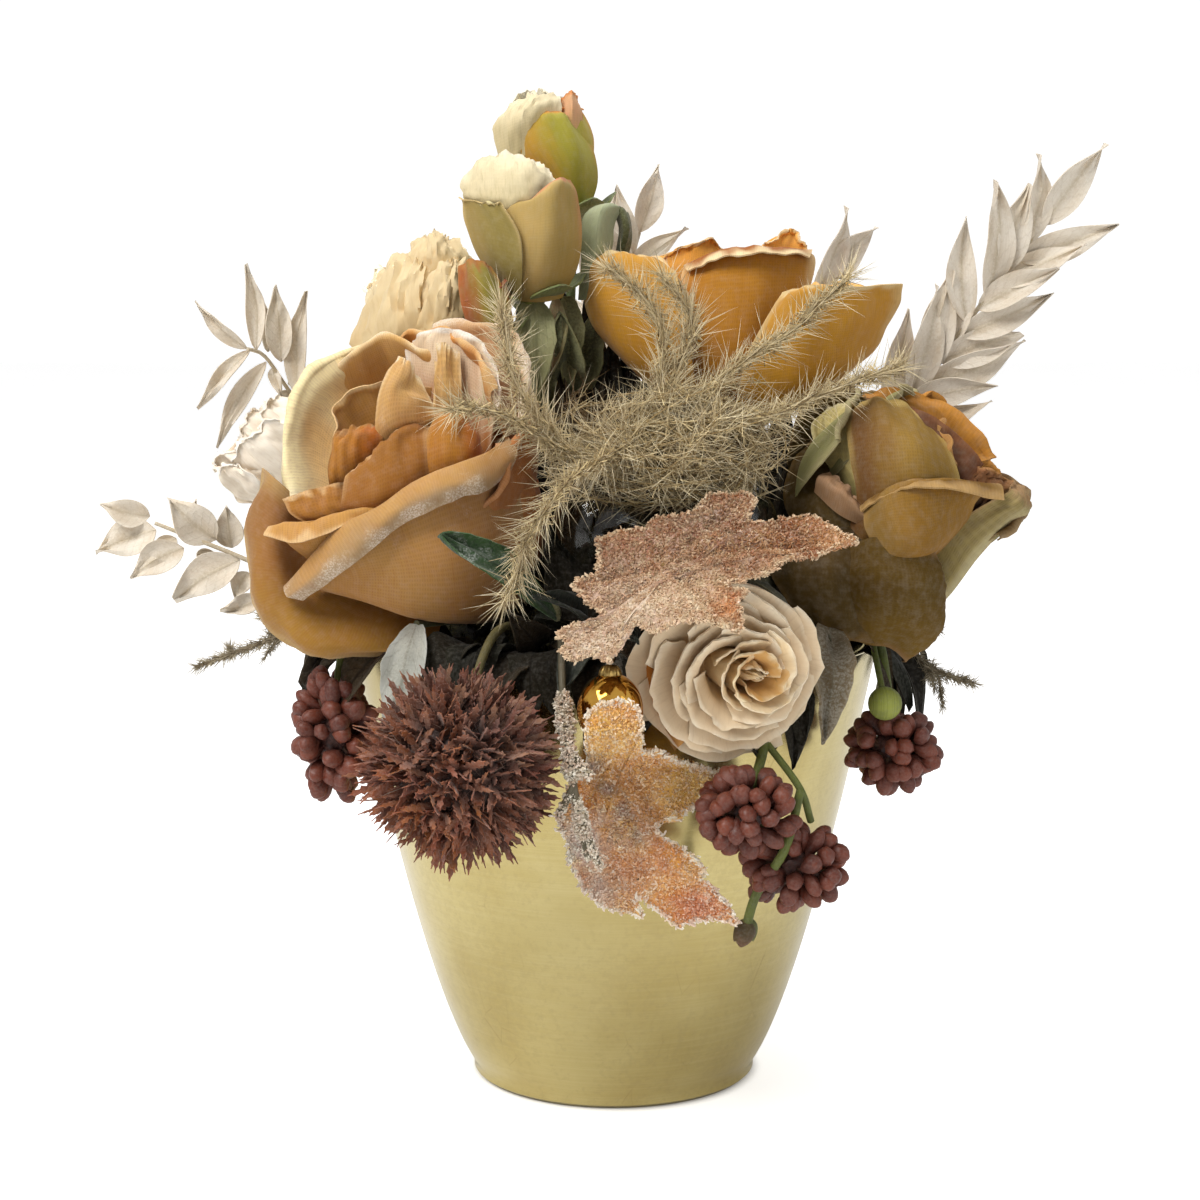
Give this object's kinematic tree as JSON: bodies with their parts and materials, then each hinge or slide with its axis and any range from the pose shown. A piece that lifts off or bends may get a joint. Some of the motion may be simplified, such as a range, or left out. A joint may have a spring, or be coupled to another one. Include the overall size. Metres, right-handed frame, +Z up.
{
  "type": "floral table centerpiece",
  "caption": "Table centerpiece of silk roses, buds, dried foliage, berries and frosted leaves standing in a tapered gold metal pot.",
  "frame": {"origin": "centre of the pot's flat base, on the table", "axes": "+Z up out of the pot, -Y towards the front of the arrangement, +X to its right seen from the front"},
  "size_m": [0.2807, 0.2171, 0.2826],
  "materials": {
    "brushed_metal": "fine brushed, soft reflections",
    "foam": "matt, covered with moss",
    "apricot_silk": "matt woven silk with pale frosted lips",
    "gold_silk": "matt woven silk",
    "olive_silk": "satin woven silk",
    "cream_silk": "papery silk",
    "bud_silk": "matt silk, cream to olive",
    "green_stem": "matt",
    "dark_leaf": "satin with white frost",
    "bleached_leaf": "dry, thin and translucent",
    "straw": "dry fine needles",
    "dry_strand": "dry fine needles",
    "allium": "dry bracts, red-brown to orange",
    "frosted_peach": "covered with sugar-like grains",
    "frosted_orange": "covered with sugar-like grains",
    "mirror_gold": "mirror gold lacquer on glass",
    "clear_glass": "clear and smooth",
    "wire": "dull",
    "berry": "dusty, matt",
    "frosted_white": "white grains",
    "grey_leaf": "dry, felted"
  },
  "bodies": {
    "root": {"pot": "brushed_metal", "floral_foam": "foam", "rose_apricot": "apricot_silk", "rose_apricot_stem": "green_stem", "rose_golden": "gold_silk", "rose_golden_stem": "green_stem", "rose_olive": "olive_silk", "rose_olive_stem": "green_stem", "rose_cream_front": "cream_silk", "rose_cream_front_stem": "green_stem", "rose_cream_high": "cream_silk", "rose_cream_high_stem": "green_stem", "rose_cream_low": "cream_silk", "rose_cream_low_stem": "green_stem", "bud_front": "bud_silk", "bud_back": "bud_silk", "bud_small": "bud_silk", "bud_spray_stem": "green_stem", "ruscus_right": "bleached_leaf", "ruscus_left_high": "bleached_leaf", "ruscus_left_low": "bleached_leaf", "ruscus_back_left": "bleached_leaf", "ruscus_back_right": "bleached_leaf", "fern_spray": "straw", "dry_strand_left": "dry_strand", "dry_strand_right": "dry_strand", "allium_head": "allium", "allium_stem": "green_stem", "maple_leaf_high": "frosted_peach", "maple_leaf_low": "frosted_orange", "gold_bauble": "mirror_gold", "gold_bauble_wire": "wire", "clear_bauble_left": "clear_glass", "clear_bauble_left_wire": "wire", "clear_bauble_right": "clear_glass", "clear_bauble_right_wire": "wire", "sedum_left": "berry", "sedum_right": "berry", "sedum_low_a": "berry", "sedum_low_b": "berry", "sedum_left_stem": "green_stem", "sedum_right_stem": "green_stem", "sedum_low_stem": "green_stem", "frosted_twig": "frosted_white", "green_leaf": "dark_leaf", "grey_leaf_left": "grey_leaf", "grey_leaf_right": "grey_leaf", "grey_leaves_back_left": "grey_leaf", "grey_leaves_back": "grey_leaf", "grey_leaves_back_right": "grey_leaf"}
  },
  "joints": []
}
